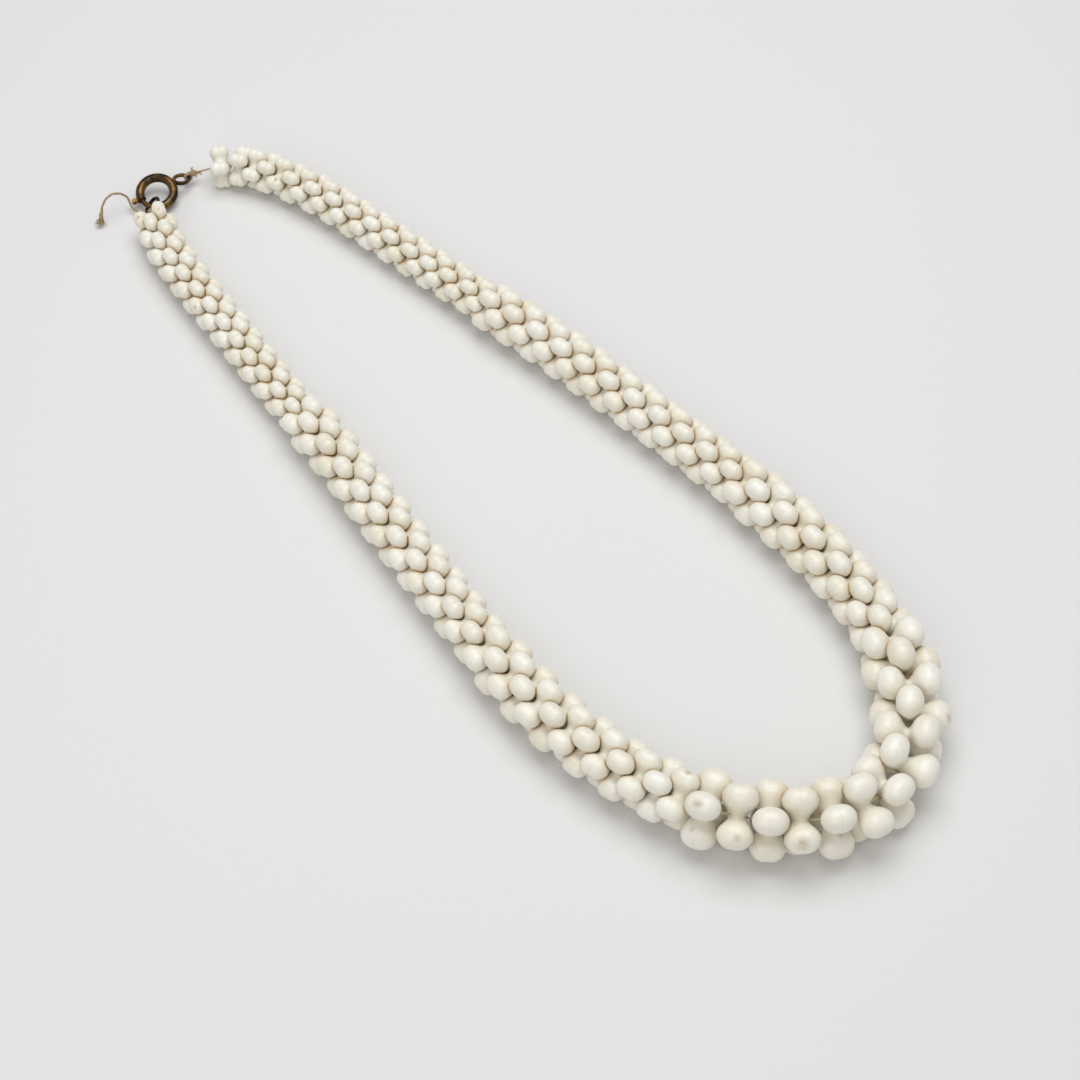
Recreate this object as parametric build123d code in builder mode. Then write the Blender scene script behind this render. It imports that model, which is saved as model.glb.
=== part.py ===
from build123d import *
import os
from math import cos, degrees, radians, sin, sqrt, tan

# A clasped necklace of cross-shaped beads, lying on a surface at z = 0.
# Millimetres, +Z up. The front of the necklace faces -Y and the clasp lies at the back left.

# Sizes of the cross beads, one row for each size that the string is graded in.
# span: tip to tip; knob_width: across a knob; knob_length: of a knob along the thread
# neck: thickness of an arm where it leaves the hub; hub: width of the middle, where arms widen
BEAD_COLUMNS = ("span", "knob_width", "knob_length", "neck", "hub")
BEAD_SIZES = {
    "small": dict(zip(BEAD_COLUMNS, (8.0, 2.45, 3.55, 1.7, 2.0))),
    "medium": dict(zip(BEAD_COLUMNS, (9.6, 3.04, 4.25, 1.95, 2.3))),
    "large": dict(zip(BEAD_COLUMNS, (10.7, 3.44, 4.7, 2.1, 2.5))),
    "front": dict(zip(BEAD_COLUMNS, (12.8, 4.25, 5.55, 2.45, 2.9))),
}
# A knob's outline is a long side arc between two end arcs, whose radius is this share of half
# its width
knob_end_share = 0.72
# The flare from neck to knob ends this far down the knob, at this share of its width
flare_depth = 0.18
flare_share = 0.93

# Thread and the holes drilled for it
thread_diameter = 0.5
thread_hole = 1.1
# Play of the hole on the thread to each side, less a hair
hole_play = (thread_hole - thread_diameter) / 2 - 0.08

# How the strands are laid, in runs, and how the front beads between them are laid one by one.
# play: slack on the thread beyond a close nesting, before each bead of the run
# lean: how far an arm of every second bead leans outwards from upright, in degrees
RUN_COLUMNS = ("size", "beads", "play", "lean_start", "lean_end")
LEFT_RUNS = [
    dict(zip(RUN_COLUMNS, row))
    for row in (
        ("small", 24, 0.531, 22.0, 25.0),
        ("medium", 20, 0.429, 25.0, 24.0),
        ("large", 13, 0.547, 20.0, 20.0),
    )
]
RIGHT_RUNS = [
    dict(zip(RUN_COLUMNS, row))
    for row in (
        ("large", 12, 0.428, 33.0, 29.0),
        ("medium", 21, 0.362, 29.0, 24.0),
        ("small", 19, 0.570, 24.0, 21.0),
        ("small", 6, 0.957, 21.0, 21.0),
    )
]
FRONT_COLUMNS = ("play", "lean")
FRONT_BEADS = [
    dict(zip(FRONT_COLUMNS, row))
    for row in (
        (0.71, 27.0),
        (1.01, 31.0),
        (1.10, 33.0),
        (0.57, 28.5),
        (0.98, 34.0),
        (1.12, 31.0),
        (0.81, 37.0),
        (1.10, 28.0),
        (0.77, 35.0),
        (0.55, 38.0),
        (0.74, 42.0),
        (0.65, 39.0),
        (0.46, 39.0),
    )
]
# The bead beside the eyelet has slipped round on the thread by this much, and stands off
last_bead_slip = 14.0
last_bead_play = 0.96
# Every second bead is turned by half of the angle between two arms
arm_angle = 90.0
nest_turn = arm_angle / 2
# Beads never nest closer than this share of a knob's length
closest_nest = 0.5
# The lie of the beads wavers a little along a strand: play by a share, lean slowly by degrees
play_waver = 0.15
play_step = 2.4
lean_waver = 3.5
lean_step = 0.45

# Turning points of the thread seen from above, from the first bead round the front to the last
STRING_ROUTE = [
    (-62.61, 59.85),
    (-60.31, 53.25),
    (-54.31, 43.65),
    (-46.11, 31.85),
    (-35.61, 16.25),
    (-26.11, 3.25),
    (-16.91, -11.35),
    (-7.11, -26.25),
    (2.99, -41.45),
    (11.49, -52.05),
    (22.19, -61.25),
    (34.59, -68.95),
    (44.79, -70.85),
    (54.99, -70.15),
    (62.19, -65.55),
    (66.29, -57.95),
    (67.79, -48.55),
    (65.99, -39.25),
    (62.19, -29.05),
    (55.19, -18.15),
    (46.79, -7.65),
    (37.69, 1.75),
    (25.19, 14.05),
    (12.89, 26.05),
    (0.29, 36.95),
    (-10.01, 46.35),
    (-21.21, 56.35),
    (-32.21, 65.85),
    (-41.41, 71.45),
    (-48.31, 73.65),
    (-52.21, 73.35),
]
# Stretches of thread beyond the outer beads, measured along the route from its two ends
first_bead_lead = 0.9
last_bead_lead = 0.9
# A turning point is as high as the beads within this distance of it need
height_reach = 5.0
# Share of the shorter run that an arc of the thread takes up
arc_share = 0.45

# Spring-ring clasp: a hollow ring with a mouth, tilted up at the back
ring_centre = (-63.01, 68.05, 2.25)
ring_tilt = 16.0
ring_outer = 8.0
ring_tube = 1.7
ring_bore = 1.2
mouth_start = 212.0
mouth_end = 270.0
# Bolt that closes the mouth, and the thumb lever that draws it back through a slot
bolt_fit = 0.1
bolt_overlap = 6.0
bolt_arc = 118.0
bolt_travel = 58.0
lever_angle = 205.0
lever_length = 0.9
lever_height = 0.4
lever_fit = 0.08
lever_reach = 4.6
lever_knob_diameter = 0.9
lever_knob_height = 0.9
slot_spare = 8.0

# Eyelet soldered to the ring, level at the side where the thread is tied
eyelet_centre = (-58.71, 71.55, 2.25)
eyelet_tilt = -12.0
eyelet_outer = 3.6
eyelet_wire = 0.75
# Drop of solder between ring and eyelet: its distance from the ring's centre, and its height
# over the line between the two centres
solder_diameter = 1.2
solder_reach = 3.78
solder_rise = 0.38

# Small ring on the other end of the string, hooked over the bolt
end_ring_angle = 258.0
end_ring_outer = 4.0
end_ring_wire = 0.7
end_ring_lean = 45.0
end_ring_shift = (0.0, 0.15, 0.14)

# Knots that hold the thread to the two rings
knot_diameter = 1.3
knot_reach = 1.15
knot_gap = 0.05
loop_fit = 0.05
eyelet_knot_angle = 35.0

# Loose cut end of the thread, from the knot up into the air and down to the surface
TAIL_ROUTE = [
    (-65.71, 63.75, 0.95),
    (-67.41, 64.95, 1.4),
    (-68.41, 66.15, 3.0),
    (-69.91, 65.25, 4.8),
    (-71.41, 64.05, 5.1),
    (-72.41, 62.75, 4.1),
    (-72.91, 61.85, 1.85),
]
tail_diameter = 0.5
tuft_length = 1.6
tuft_width = 1.3


def bead_reach(size):
    """Distance from a bead's thread axis to the middle of a knob."""
    return (size["span"] - size["knob_width"]) / 2


def off_upright(lean):
    """Angle between straight down and the arm of a bead that points down most."""
    return (lean + nest_turn) % arm_angle - nest_turn


def nest_pitch(bead, other):
    """Least distance along the thread between two beads, whose knobs then just touch."""
    turn = abs(off_upright(bead["lean"] - other["lean"]))
    reach = bead_reach(bead["size"])
    other_reach = bead_reach(other["size"])
    chord = sqrt(reach**2 + other_reach**2 - 2 * reach * other_reach * cos(radians(turn)))
    width = (bead["size"]["knob_width"] + other["size"]["knob_width"]) / 2
    length = (bead["size"]["knob_length"] + other["size"]["knob_length"]) / 2
    return length * sqrt(max(1 - (chord / width) ** 2, closest_nest**2))


def strand_beads(runs, first_index):
    """The beads of a strand: each one's size, lean and play."""
    beads = []
    for run in runs:
        for place in range(run["beads"]):
            index = first_index + len(beads)
            share = place / (run["beads"] - 1)
            lean = run["lean_start"] + (run["lean_end"] - run["lean_start"]) * share
            lean += lean_waver * sin(lean_step * index)
            play = run["play"] * (1 + play_waver * cos(play_step * index))
            beads.append({"size": BEAD_SIZES[run["size"]], "lean": lean, "play": play})
    return beads


def string_of_beads():
    """All beads in order from the end ring to the eyelet, every second one turned."""
    beads = strand_beads(LEFT_RUNS, 0)
    for row in FRONT_BEADS:
        beads.append({"size": BEAD_SIZES["front"], "lean": row["lean"], "play": row["play"]})
    beads += strand_beads(RIGHT_RUNS, len(beads))
    for bead in beads[::2]:
        bead["lean"] += nest_turn
    beads[-1]["lean"] += last_bead_slip
    beads[-1]["play"] = last_bead_play
    return beads


def bead_stations(beads):
    """Distance of each bead from the first one, along the thread."""
    stations = [0.0]
    for before, bead in zip(beads, beads[1:]):
        stations.append(stations[-1] + nest_pitch(before, bead) + bead["play"])
    return stations


def rest_height(bead):
    """Height of a bead's thread axis when its lowest knob rests on the surface."""
    down = bead_reach(bead["size"]) * cos(radians(off_upright(bead["lean"])))
    return down + bead["size"]["knob_width"] / 2


def bend_radii(points):
    """Arc radius at each inner point of a route, as large as its two runs allow."""
    radii = []
    for before, corner, after in zip(points, points[1:], points[2:]):
        run_in = Vector(*corner) - Vector(*before)
        run_out = Vector(*after) - Vector(*corner)
        half_turn = radians(run_in.get_angle(run_out) / 2)
        radii.append(arc_share * min(run_in.length, run_out.length) / tan(half_turn))
    return radii


def soft_path(points):
    """Straight runs joined by tangent arcs through a route's turning points."""
    with BuildLine() as path:
        FilletPolyline(*points, radius=bend_radii(points))
    return path.wire()


def fitted_route(spread):
    """The string's route from above, spread from the clasp by a factor."""
    centre_x, centre_y, _ = ring_centre
    return [
        (centre_x + spread * (x - centre_x), centre_y + spread * (y - centre_y))
        for x, y in STRING_ROUTE
    ]


def route_length(points):
    """Length of the filleted path through points that lie in one plane."""
    return soft_path([(x, y, 0) for x, y in points]).length


def route_heights(points, beads, stations):
    """Height of each turning point, from the beads that lie near it."""
    heights = []
    distance = 0.0
    for number, point in enumerate(points):
        if number:
            distance += (Vector(*point) - Vector(*points[number - 1])).length
        nearest = min(range(len(beads)), key=lambda i: abs(stations[i] - distance))
        near = [
            rest_height(bead)
            for bead, station in zip(beads, stations)
            if abs(station - distance) <= height_reach
        ]
        heights.append(max(near + [rest_height(beads[nearest])]))
    return heights


def bead_plane(path, distance, bead):
    """Plane of a bead: its origin in its hub, its normal along the thread, its X along an arm.

    The bead sinks onto the surface as far as the play of its hole on the thread lets it.
    """
    hub = path.position_at(distance, position_mode=PositionMode.LENGTH)
    along = path.tangent_at(distance, position_mode=PositionMode.LENGTH)
    lean = bead["lean"]
    hub -= Vector(0, 0, min(hub.Z - rest_height(bead), hole_play))
    outward = along.cross(Vector(0, 0, 1)).normalized()
    upward = outward.cross(along).normalized()
    arm = upward * cos(radians(lean)) + outward * sin(radians(lean))
    return Plane(origin=hub, x_dir=arm, z_dir=along)


# Lay the string: bead order, spread of the route that fits its length, heights, planes
beads = string_of_beads()
stations = bead_stations(beads)
string_length = first_bead_lead + stations[-1] + last_bead_lead
spread = string_length / route_length(STRING_ROUTE)
flat_route = fitted_route(spread)
leads = [first_bead_lead + station for station in stations]
heights = route_heights(flat_route, beads, leads)
laid_route = [(x, y, height) for (x, y), height in zip(flat_route, heights)]
bead_path = soft_path(laid_route)
sunk = max(
    rest_height(bead) - bead_path.position_at(lead, position_mode=PositionMode.LENGTH).Z
    for bead, lead in zip(beads, leads)
)
laid_route = [(x, y, z + sunk) for x, y, z in laid_route]
bead_path = soft_path(laid_route)
bead_planes = [bead_plane(bead_path, lead, bead) for bead, lead in zip(beads, leads)]

# Frames of the clasp: the ring's own plane, and points on its centre line
ring_normal = (0, -sin(radians(ring_tilt)), cos(radians(ring_tilt)))
ring_plane = Plane(origin=ring_centre, x_dir=(1, 0, 0), z_dir=ring_normal)
ring_axis = Axis(ring_centre, ring_normal)
ring_radius = (ring_outer - ring_tube) / 2
bolt_diameter = ring_bore - 2 * bolt_fit


def ring_point(angle):
    """Point on the centre line of the clasp ring's tube."""
    return ring_plane.from_local_coords(
        Vector(ring_radius * cos(radians(angle)), ring_radius * sin(radians(angle)), 0)
    )


def ring_section(angle):
    """Plane across the clasp ring at an angle: X points outwards, Y along the ring's axis."""
    outward = ring_plane.x_dir * cos(radians(angle)) + ring_plane.y_dir * sin(radians(angle))
    return Plane(origin=ring_centre, x_dir=outward, z_dir=outward.cross(ring_plane.z_dir))


# Frame of the eyelet, and the solder drop that joins its wire to the clasp ring
eyelet_normal = (0, -sin(radians(eyelet_tilt)), cos(radians(eyelet_tilt)))
eyelet_plane = Plane(origin=eyelet_centre, x_dir=(1, 0, 0), z_dir=eyelet_normal)
eyelet_radius = (eyelet_outer - eyelet_wire) / 2
to_eyelet = Vector(*eyelet_centre) - Vector(*ring_centre)
solder_middle = Vector(*ring_centre) + to_eyelet * (solder_reach / to_eyelet.length)
solder_middle += Vector(0, 0, solder_rise)

# Frame of the end ring: hooked on the bolt, one side down on the surface
end_ring_middle = ring_point(end_ring_angle) + Vector(*end_ring_shift)
end_ring_x = (cos(radians(end_ring_lean)), 0, sin(radians(end_ring_lean)))
end_ring_normal = (-sin(radians(end_ring_lean)), 0, cos(radians(end_ring_lean)))
end_ring_plane = Plane(origin=end_ring_middle, x_dir=end_ring_x, z_dir=end_ring_normal)
end_ring_radius = (end_ring_outer - end_ring_wire) / 2


def knot_frame(plane, radius, angle, aim):
    """Where a knot sits on a wire ring: the wire's plane across, and the middle of the knot.

    The knot hangs off the wire squarely, as far as it can towards the point it is aimed at.
    """
    wire = plane.from_local_coords(
        Vector(radius * cos(radians(angle)), radius * sin(radians(angle)), 0)
    )
    along = plane.y_dir * cos(radians(angle)) - plane.x_dir * sin(radians(angle))
    pull = Vector(*aim) - wire
    pull = (pull - along * pull.dot(along)).normalized()
    across = Plane(origin=wire, x_dir=pull, z_dir=along)
    return across, wire + pull * knot_reach


def thread_end(knot, aim):
    """Point where the thread leaves a knot towards the point it is aimed at."""
    return knot + (Vector(*aim) - knot).normalized() * (knot_diameter / 2 + knot_gap)


end_loop_plane, end_knot = knot_frame(end_ring_plane, end_ring_radius, 270, laid_route[0])
eyelet_loop_plane, eyelet_knot_middle = knot_frame(
    eyelet_plane, eyelet_radius, eyelet_knot_angle, laid_route[-1]
)
thread_route = [tuple(thread_end(end_knot, laid_route[0]))]
thread_route += laid_route
thread_route.append(tuple(thread_end(eyelet_knot_middle, laid_route[-1])))
tail_route = [tuple(thread_end(end_knot, TAIL_ROUTE[0]))] + TAIL_ROUTE


# One drilled cross bead of a size: four knobs on two crossing bars that widen outwards
def cross_bead(size):
    """A cross bead with the thread along Z and its arms along X and Y."""
    reach = bead_reach(size)
    half_width = size["knob_width"] / 2
    half_length = size["knob_length"] / 2
    end_radius = knob_end_share * half_width
    end_middle = half_length - end_radius
    side_radius = half_width**2 + end_middle**2 - end_radius**2
    side_radius /= 2 * (half_width - end_radius)
    side_middle = half_width - side_radius
    stretch = side_radius / (side_radius - end_radius)
    join_x = reach + side_middle * (1 - stretch)
    join_y = stretch * end_middle
    flare_end = reach - flare_depth * size["knob_width"]
    flare_radius = flare_share * half_width
    with BuildPart() as bead:
        for turn in range(4):
            angle = turn * arm_angle
            with BuildSketch(Plane.XZ.rotated((0, 0, angle))):
                with BuildLine():
                    RadiusArc((reach, half_length), (join_x, join_y), end_radius)
                    RadiusArc((join_x, join_y), (join_x, -join_y), side_radius)
                    RadiusArc((join_x, -join_y), (reach, -half_length), end_radius)
                    Line((reach, -half_length), (reach, half_length))
                make_face()
            knob_middle = (reach * cos(radians(angle)), reach * sin(radians(angle)), 0)
            revolve(axis=Axis(knob_middle, (0, 0, 1)))
        for angle in (0, arm_angle):
            with BuildSketch(Plane.XZ.rotated((0, 0, angle))):
                with BuildLine():
                    Polyline(
                        (-flare_end, 0),
                        (-flare_end, flare_radius),
                        (-size["hub"] / 2, size["neck"] / 2),
                        (size["hub"] / 2, size["neck"] / 2),
                        (flare_end, flare_radius),
                        (flare_end, 0),
                        close=True,
                    )
                make_face()
            revolve(axis=Axis((0, 0, 0), (cos(radians(angle)), sin(radians(angle)), 0)))
        Cylinder(thread_hole / 2, size["span"], mode=Mode.SUBTRACT)
    return bead.part


def placed_beads(first, last):
    """The beads from one place in the string up to another, each a copy of its size's solid."""
    return [
        plane.location * bead_solids[bead["size"]["span"]]
        for bead, plane in zip(beads[first:last], bead_planes[first:last])
    ]


bead_solids = {size["span"]: cross_bead(size).solid() for size in BEAD_SIZES.values()}
front_start = sum(run["beads"] for run in LEFT_RUNS)
front_end = front_start + len(FRONT_BEADS)

# The two strands: loose beads in one sub-part each, whose copies share one solid per size
left_strand_beads = Compound(label="left_strand_beads", children=placed_beads(0, front_start))
right_strand_beads = Compound(
    label="right_strand_beads", children=placed_beads(front_end, len(beads))
)

# The largest beads at the front, each a sub-part of its own
front_beads = placed_beads(front_start, front_end)
for number, front_bead in enumerate(front_beads, start=1):
    front_bead.label = f"front_bead_{number:02d}"

# The thread through all beads, from knot to knot
thread_path = soft_path(thread_route)
with BuildPart() as stringing_thread:
    with BuildSketch(Plane(origin=thread_path @ 0, z_dir=thread_path % 0)):
        Circle(thread_diameter / 2)
    sweep(path=thread_path)
stringing_thread.part.label = "stringing_thread"

# Clasp ring: three quarters of a hollow ring, its eyelet and the solder drop between them
with BuildPart() as clasp_ring:
    with BuildSketch(ring_section(mouth_end)):
        with Locations((ring_radius, 0)):
            Circle(ring_tube / 2)
    revolve(axis=ring_axis, revolution_arc=360 - (mouth_end - mouth_start))
    with Locations(eyelet_plane):
        Torus(eyelet_radius, eyelet_wire / 2)
    with Locations(Plane(origin=solder_middle)):
        Sphere(solder_diameter / 2)
    with BuildSketch(ring_section(0)):
        with Locations((ring_radius, 0)):
            Circle(ring_bore / 2)
    revolve(axis=ring_axis, mode=Mode.SUBTRACT)
    slot_start = lever_angle - bolt_travel - slot_spare
    with BuildSketch(ring_section(slot_start)):
        with Locations((ring_radius, 0)):
            Rectangle(
                ring_tube,
                lever_height + 2 * lever_fit,
                align=(Align.MIN, Align.CENTER),
            )
    revolve(axis=ring_axis, revolution_arc=mouth_start - slot_start, mode=Mode.SUBTRACT)
clasp_ring.part.label = "clasp_ring"

# Clasp bolt: round-ended arc in the bore and across the mouth, with its thumb lever
bolt_start = mouth_end + bolt_overlap - bolt_arc
lever_turn = degrees(lever_length / (ring_outer / 2))
lever_knob_middle = ring_plane.from_local_coords(
    Vector(
        lever_reach * cos(radians(lever_angle)),
        lever_reach * sin(radians(lever_angle)),
        0,
    )
)
with BuildPart() as clasp_bolt:
    with BuildSketch(ring_section(bolt_start)):
        with Locations((ring_radius, 0)):
            Circle(bolt_diameter / 2)
    revolve(axis=ring_axis, revolution_arc=bolt_arc)
    with Locations(
        Plane(origin=ring_point(bolt_start)), Plane(origin=ring_point(bolt_start + bolt_arc))
    ):
        Sphere(bolt_diameter / 2)
    with BuildSketch(ring_section(lever_angle - lever_turn / 2)):
        with Locations((ring_radius, 0)):
            Rectangle(
                lever_reach - ring_radius,
                lever_height,
                align=(Align.MIN, Align.CENTER),
            )
    revolve(axis=ring_axis, revolution_arc=lever_turn)
    with Locations(Plane(origin=lever_knob_middle, z_dir=ring_normal)):
        Cylinder(lever_knob_diameter / 2, lever_knob_height)
clasp_bolt.part.label = "clasp_bolt"

# End ring that hooks over the bolt
with BuildPart() as end_ring:
    with Locations(end_ring_plane):
        Torus(end_ring_radius, end_ring_wire / 2)
end_ring.part.label = "end_ring"

# Knots: a loop of thread round the wire and a ball of wound thread beside it
end_loop_radius = (end_ring_wire + thread_diameter) / 2 + loop_fit
with BuildPart() as end_ring_knot:
    with Locations(end_loop_plane):
        Torus(end_loop_radius, thread_diameter / 2)
    with Locations(Plane(origin=end_knot)):
        Sphere(knot_diameter / 2)
end_ring_knot.part.label = "end_ring_knot"

eyelet_loop_radius = (eyelet_wire + thread_diameter) / 2 + loop_fit
with BuildPart() as eyelet_knot:
    with Locations(eyelet_loop_plane):
        Torus(eyelet_loop_radius, thread_diameter / 2)
    with Locations(Plane(origin=eyelet_knot_middle)):
        Sphere(knot_diameter / 2)
eyelet_knot.part.label = "eyelet_knot"

# Loose tail of the thread, which frays into a small tuft that hangs to the surface
tail_path = soft_path(tail_route)
tuft_plane = Plane(origin=tail_path @ 1, z_dir=tail_path % 1)
with BuildPart() as thread_tail:
    with BuildSketch(Plane(origin=tail_path @ 0, z_dir=tail_path % 0)):
        Circle(tail_diameter / 2)
    sweep(path=tail_path)
    with BuildSketch(tuft_plane):
        Circle(tail_diameter / 2)
    with BuildSketch(tuft_plane.offset(tuft_length)):
        Circle(tuft_width / 2)
    loft()
thread_tail.part.label = "thread_tail"

# Write every sub-part to its own file
os.makedirs("parts", exist_ok=True)
sub_parts = [left_strand_beads] + front_beads + [
    right_strand_beads,
    stringing_thread.part,
    clasp_ring.part,
    clasp_bolt.part,
    end_ring.part,
    end_ring_knot.part,
    eyelet_knot.part,
    thread_tail.part,
]
for sub_part in sub_parts:
    export_step(sub_part, f"parts/{sub_part.label}.step")

print("beads", len(beads), "on", round(string_length, 2), "mm of string, spread", round(spread, 4))
print("thread length", round(thread_path.length, 2), "diameter", thread_diameter)
print("tail length", round(tail_path.length, 2), "diameter", tail_diameter)
print("smallest bend radius of the thread", round(min(bend_radii(thread_route)), 2))
print("smallest bend radius of the tail", round(min(bend_radii(tail_route)), 2))
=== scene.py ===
"""Looks of a clasped necklace of cream moulded-plastic cross beads on a brown thread.

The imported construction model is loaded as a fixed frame. Every bead is drawn again as one
smooth moulding in the place of its solid, the thread gets its twist, knots and frayed tail,
and the spring-ring clasp gets its tarnish. All lengths in the classes are millimetres.
"""

import logging
from dataclasses import dataclass, field
from enum import Enum
from math import cos, pi, sin, tau
from typing import Any, Sequence

import bpy
import numpy as np
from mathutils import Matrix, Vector


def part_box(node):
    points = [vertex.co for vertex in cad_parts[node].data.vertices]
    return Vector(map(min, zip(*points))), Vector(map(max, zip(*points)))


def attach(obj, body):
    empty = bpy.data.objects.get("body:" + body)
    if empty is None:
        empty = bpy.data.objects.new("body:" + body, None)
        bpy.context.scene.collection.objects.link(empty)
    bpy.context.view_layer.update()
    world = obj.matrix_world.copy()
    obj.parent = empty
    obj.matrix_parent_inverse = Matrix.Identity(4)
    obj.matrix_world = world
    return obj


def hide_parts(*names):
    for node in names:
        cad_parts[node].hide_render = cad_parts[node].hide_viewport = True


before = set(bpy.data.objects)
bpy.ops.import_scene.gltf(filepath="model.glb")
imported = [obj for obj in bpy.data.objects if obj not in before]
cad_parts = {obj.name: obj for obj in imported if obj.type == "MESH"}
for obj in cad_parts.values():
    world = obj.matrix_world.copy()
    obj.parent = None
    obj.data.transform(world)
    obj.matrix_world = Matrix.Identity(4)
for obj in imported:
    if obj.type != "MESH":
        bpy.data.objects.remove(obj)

Array = np.ndarray
Material = bpy.types.Material
Socket = bpy.types.NodeSocket
Tree = bpy.types.NodeTree
# Linear red, green, blue and opacity
Colour = tuple[float, float, float, float]
Pair = tuple[float, float]
# Three lengths, or three other values of one kind
Triple = tuple[float, float, float]

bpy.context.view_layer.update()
MM = 0.001
# Added to a length before a division, so that it is never by zero
TINY = 1e-9
LOG = logging.getLogger("necklace")


class Body(Enum):
    """Rigid body that every piece drawn here rides."""

    STRING = "string"


class Slot(Enum):
    """Names for material slots; no piece here is given them."""

    PLASTIC = "bead_plastic"
    THREAD = "thread"


def linear(hex_colour: str) -> Colour:
    """Turn an sRGB hex colour to linear.

    Args:
        hex_colour: Six hex digits, such as "e9e6d6".

    Returns:
        Linear red, green, blue, and full opacity.
    """
    values = []
    for start in (0, 2, 4):
        share = int(hex_colour[start : start + 2], 16) / 255
        values.append(share / 12.92 if share <= 0.04045 else ((share + 0.055) / 1.055) ** 2.4)
    return (values[0], values[1], values[2], 1.0)


def add_node(
    tree: Tree,
    kind: str,
    settings: dict[str, Any] | None = None,
    inputs: dict[Any, Any] | None = None,
) -> bpy.types.Node:
    """Add a node with its settings, its socket values and its links.

    Args:
        tree: Node tree of the material.
        kind: Node type, such as "ShaderNodeTexNoise".
        settings: Properties of the node.
        inputs: Socket name or number to a value, or to the output socket that feeds it.

    Returns:
        The new node.
    """
    node = tree.nodes.new(kind)
    for name, value in (settings or {}).items():
        setattr(node, name, value)
    for name, value in (inputs or {}).items():
        if isinstance(value, Socket):
            tree.links.new(value, node.inputs[name])
        else:
            node.inputs[name].default_value = value
    return node


def ramp(tree: Tree, factor: Socket, stops: Sequence[tuple[float, Colour]]) -> Socket:
    """Map a factor to colours.

    Args:
        tree: Node tree of the material.
        factor: Socket with the factor.
        stops: Place and linear colour of each stop.

    Returns:
        The colour socket.
    """
    node = add_node(tree, "ShaderNodeValToRGB", inputs={"Fac": factor})
    elements = node.color_ramp.elements
    while len(elements) < len(stops):
        elements.new(0.5)
    for element, (place, colour) in zip(elements, stops):
        element.position = place
        element.color = colour
    return node.outputs["Color"]


def mixed(tree: Tree, factor: Socket, first: Any, second: Any) -> Socket:
    """Mix two colours.

    Args:
        tree: Node tree of the material.
        factor: Socket with the share of the second colour.
        first: Colour or socket at factor 0.
        second: Colour or socket at factor 1.

    Returns:
        The colour socket.
    """
    sockets = {0: factor, 6: first, 7: second}
    return add_node(tree, "ShaderNodeMix", {"data_type": "RGBA"}, sockets).outputs[2]


def noise(tree: Tree, place: Socket, grain_mm: float, detail: float) -> Socket:
    """Add a noise of a real size.

    Args:
        tree: Node tree of the material.
        place: Socket with the place in the object.
        grain_mm: Size of its patches in millimetres.
        detail: How many finer layers it has.

    Returns:
        The noise, from 0 to 1.
    """
    sockets = {"Vector": place, "Scale": 1 / (grain_mm * MM), "Detail": detail}
    return add_node(tree, "ShaderNodeTexNoise", inputs=sockets).outputs["Fac"]


def measure(tree: Tree, name: str) -> Socket:
    """Read a measure that the mesh carries at its vertices."""
    return add_node(tree, "ShaderNodeAttribute", {"attribute_name": name}).outputs["Fac"]


def arithmetic(tree: Tree, operation: str, *values: Any, clamp: bool = False) -> Socket:
    """Reckon with sockets and numbers.

    Args:
        tree: Node tree of the material.
        operation: Name of the sum, such as "MULTIPLY".
        values: Sockets or numbers that it takes.
        clamp: Whether the result is kept within 0 and 1.

    Returns:
        The result.
    """
    settings = {"operation": operation, "use_clamp": clamp}
    return add_node(tree, "ShaderNodeMath", settings, dict(enumerate(values))).outputs[0]


def remap(
    tree: Tree,
    value: Socket,
    source: Pair,
    target: Pair,
    shape: str = "LINEAR",
) -> Socket:
    """Carry a value from one range to another, held at both ends.

    Args:
        tree: Node tree of the material.
        value: Socket with the value.
        source: Range it comes from.
        target: Range it goes to.
        shape: Kind of transition between the ends.

    Returns:
        The carried value.
    """
    sockets = dict(enumerate((value, *source, *target)))
    return add_node(
        tree, "ShaderNodeMapRange", {"interpolation_type": shape}, sockets
    ).outputs[0]


def relief(tree: Tree, height: Socket, strength: float, depth_mm: float) -> Socket:
    """Give a surface fine relief.

    Args:
        tree: Node tree of the material.
        height: Socket with the height, from 0 to 1.
        strength: Share of the relief that shows.
        depth_mm: Depth of the relief in millimetres.

    Returns:
        The normal.
    """
    sockets = {"Height": height, "Strength": strength, "Distance": depth_mm * MM}
    return add_node(tree, "ShaderNodeBump", inputs=sockets).outputs["Normal"]


def new_material(name: str) -> tuple[Material, Tree]:
    """Make a material with an empty node tree.

    Args:
        name: Name of the material.

    Returns:
        The material and its tree.
    """
    material = bpy.data.materials.new(name)
    material.use_nodes = True
    material.node_tree.nodes.clear()
    return material, material.node_tree


def close_material(tree: Tree, inputs: dict[Any, Any]) -> None:
    """Add the surface shader and the output.

    Args:
        tree: Node tree of the material.
        inputs: Sockets of the surface shader.
    """
    shader = add_node(tree, "ShaderNodeBsdfPrincipled", inputs=inputs)
    add_node(tree, "ShaderNodeOutputMaterial", inputs={"Surface": shader.outputs["BSDF"]})


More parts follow.
